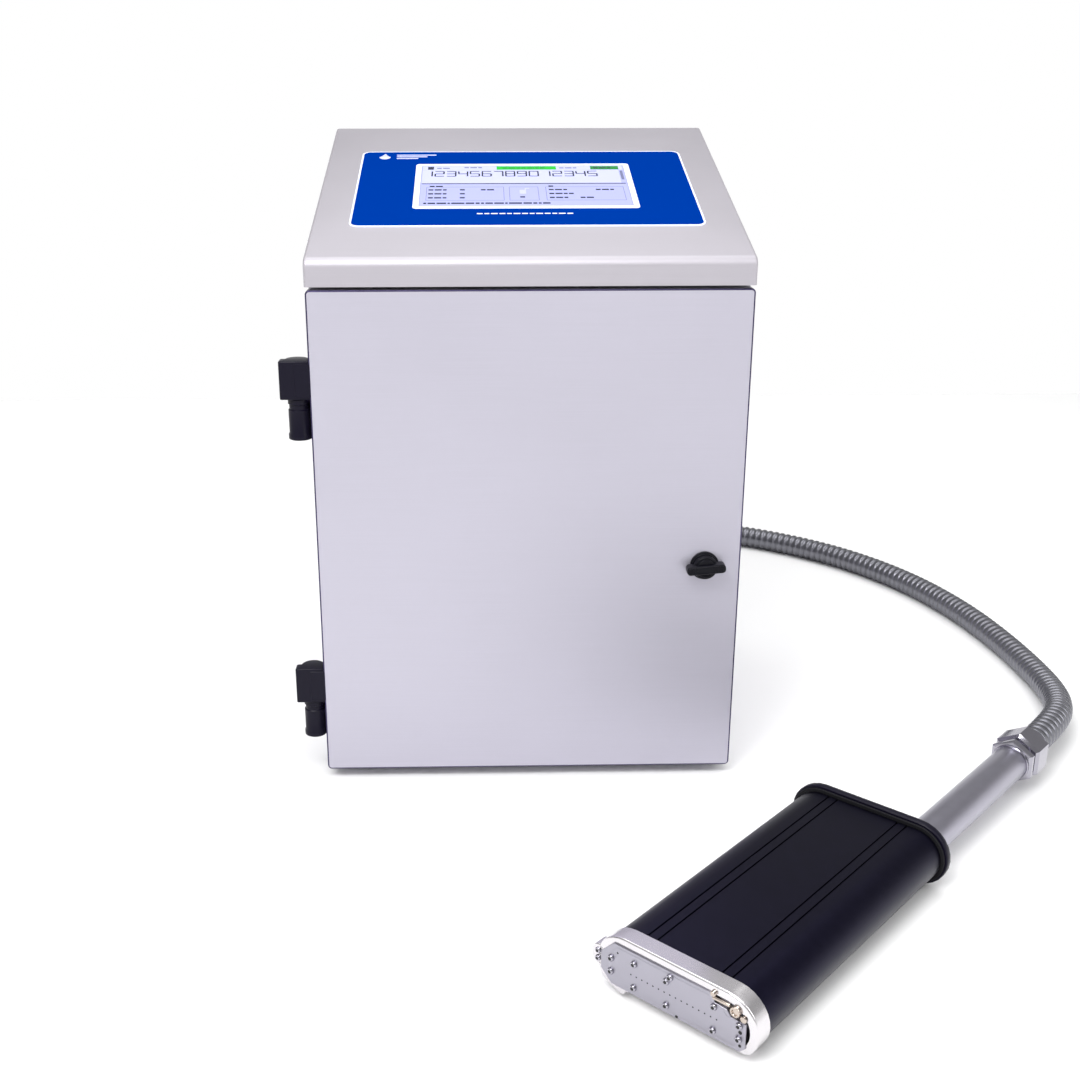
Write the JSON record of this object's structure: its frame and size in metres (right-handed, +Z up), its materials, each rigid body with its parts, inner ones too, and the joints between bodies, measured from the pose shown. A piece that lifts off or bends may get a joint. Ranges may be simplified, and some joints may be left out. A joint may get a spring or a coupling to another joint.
{
  "type": "date code inkjet printer",
  "caption": "Stainless cabinet with a tilted touch panel, a hinged lockable door, an ink and air system inside, and a valve-jet print head on a corrugated metal conduit",
  "frame": {"origin": "on the floor, at the centre of the cabinet's footprint; the base bolt pattern is centred 3 mm above it", "axes": "+Z up, +X to the right of someone facing the door, the door faces -Y"},
  "size_m": [0.6227, 0.8826, 0.4578],
  "materials": {
    "brushed_case": "fine horizontal brushed finish",
    "brushed_lid": "fine horizontal brushed finish",
    "inner_sheet": "mill finish",
    "black_hinge": "black powder coat",
    "pin_steel": "ground",
    "lock_black": "black glass-filled polyamide",
    "cam_zinc": "zinc plated",
    "black_rubber": "moulded",
    "screw_steel": "stainless",
    "panel_film": "satin polyester film",
    "bezel_white": "satin",
    "screen_glass": "touch glass",
    "lcd_metal": "tin plate",
    "board_green": "solder mask",
    "standoff_brass": "turned",
    "tank_plastic": "natural polyethylene",
    "cap_plastic": "ribbed",
    "fitting_plastic": "moulded",
    "valve_plastic": "moulded",
    "pump_metal": "cast and sheet aluminium",
    "knob_plastic": "moulded",
    "gauge_clear": "clear window",
    "needle_paint": "painted",
    "plated_brass": "nickel plated",
    "anodised_black": "black anodised",
    "machined_steel": "machined stainless",
    "satin_tube": "satin anodised",
    "conduit_steel": "interlocked steel strip"
  },
  "bodies": {
    "root": {"air_pump": "pump_metal", "base_tray": "inner_sheet", "board_standoffs": "standoff_brass", "case_screws": "screw_steel", "conduit_connector": "plated_brass", "driver_board": "board_green", "fan_frame": "valve_plastic", "front_frame": "brushed_case", "front_overlay": "panel_film", "gauge_glass": "gauge_clear", "head_board": "board_green", "head_extrusion": "anodised_black", "head_front_ring": "machined_steel", "head_rear_cap": "anodised_black", "head_rear_gasket": "black_rubber", "head_screws": "screw_steel", "hinge_body_leaves": "black_hinge", "hinge_pins": "pin_steel", "hose_coil": "conduit_steel", "hose_run": "conduit_steel", "hose_tail": "conduit_steel", "ink_filter": "fitting_plastic", "ink_pickup": "fitting_plastic", "ink_tank": "tank_plastic", "inner_tubing": "fitting_plastic", "lcd_module": "lcd_metal", "lid_seal": "black_rubber", "main_board": "board_green", "micro_valves": "machined_steel", "mid_shelf": "inner_sheet", "nozzle_block": "machined_steel", "nozzle_plate": "machined_steel", "power_inlet": "valve_plastic", "power_supply": "pump_metal", "rear_panel": "brushed_case", "regulator_body": "pump_metal", "rubber_mounts": "black_rubber", "screen_bezel": "bezel_white", "sensor_sockets": "valve_plastic", "side_panel_left": "brushed_case", "side_panel_right": "brushed_case", "solvent_bottle": "tank_plastic", "tail_tube": "satin_tube", "top_cover": "brushed_lid", "touch_glass": "screen_glass", "tube_locknut": "plated_brass", "umbilical_gland": "plated_brass", "valve_manifold": "valve_plastic"},
    "door": {"door": "brushed_case", "door_gasket": "black_rubber", "hinge_door_leaves": "black_hinge", "lock_housing": "lock_black"},
    "lock": {"lock_knob": "lock_black", "lock_cam": "cam_zinc"},
    "power_rocker": {"power_rocker": "valve_plastic"},
    "ink_cap": {"ink_tank_cap": "cap_plastic"},
    "solvent_cap": {"solvent_cap": "cap_plastic"},
    "regulator_knob": {"regulator_knob": "knob_plastic"},
    "gauge_needle": {"gauge_needle": "needle_paint"},
    "fan_rotor": {"fan_rotor": "valve_plastic"}
  },
  "joints": [
    {"name": "door_hinge", "type": "hinge", "parent": "root", "child": "door", "pos_m": [-0.1585, -0.124, 0.18], "axis": [0, 0, -1], "range_deg": [0, 120]},
    {"name": "lock_turn", "type": "hinge", "parent": "door", "child": "lock", "pos_m": [0.1243, -0.133, 0.1675], "axis": [0, -1, 0], "range_deg": [0, 90]},
    {"name": "power_switch", "type": "hinge", "parent": "root", "child": "power_rocker", "pos_m": [0.061, 0.1295, 0.06], "axis": [-1, 0, 0], "range_deg": [0, 14]},
    {"name": "ink_cap_turn", "type": "hinge", "parent": "root", "child": "ink_cap", "pos_m": [-0.085, 0.045, 0.16], "axis": [0, 0, 1], "continuous": true},
    {"name": "solvent_cap_turn", "type": "hinge", "parent": "root", "child": "solvent_cap", "pos_m": [-0.085, -0.06, 0.13], "axis": [0, 0, 1], "continuous": true},
    {"name": "regulator_turn", "type": "hinge", "parent": "root", "child": "regulator_knob", "pos_m": [0.112, -0.066, 0.15], "axis": [0, -1, 0], "continuous": true},
    {"name": "gauge_sweep", "type": "hinge", "parent": "root", "child": "gauge_needle", "pos_m": [0.112, -0.047, 0.202], "axis": [0, 1, 0], "range_deg": [0, 270]},
    {"name": "fan_spin", "type": "hinge", "parent": "root", "child": "fan_rotor", "pos_m": [0.09, 0.118, 0.33], "axis": [0, 1, 0], "continuous": true}
  ]
}
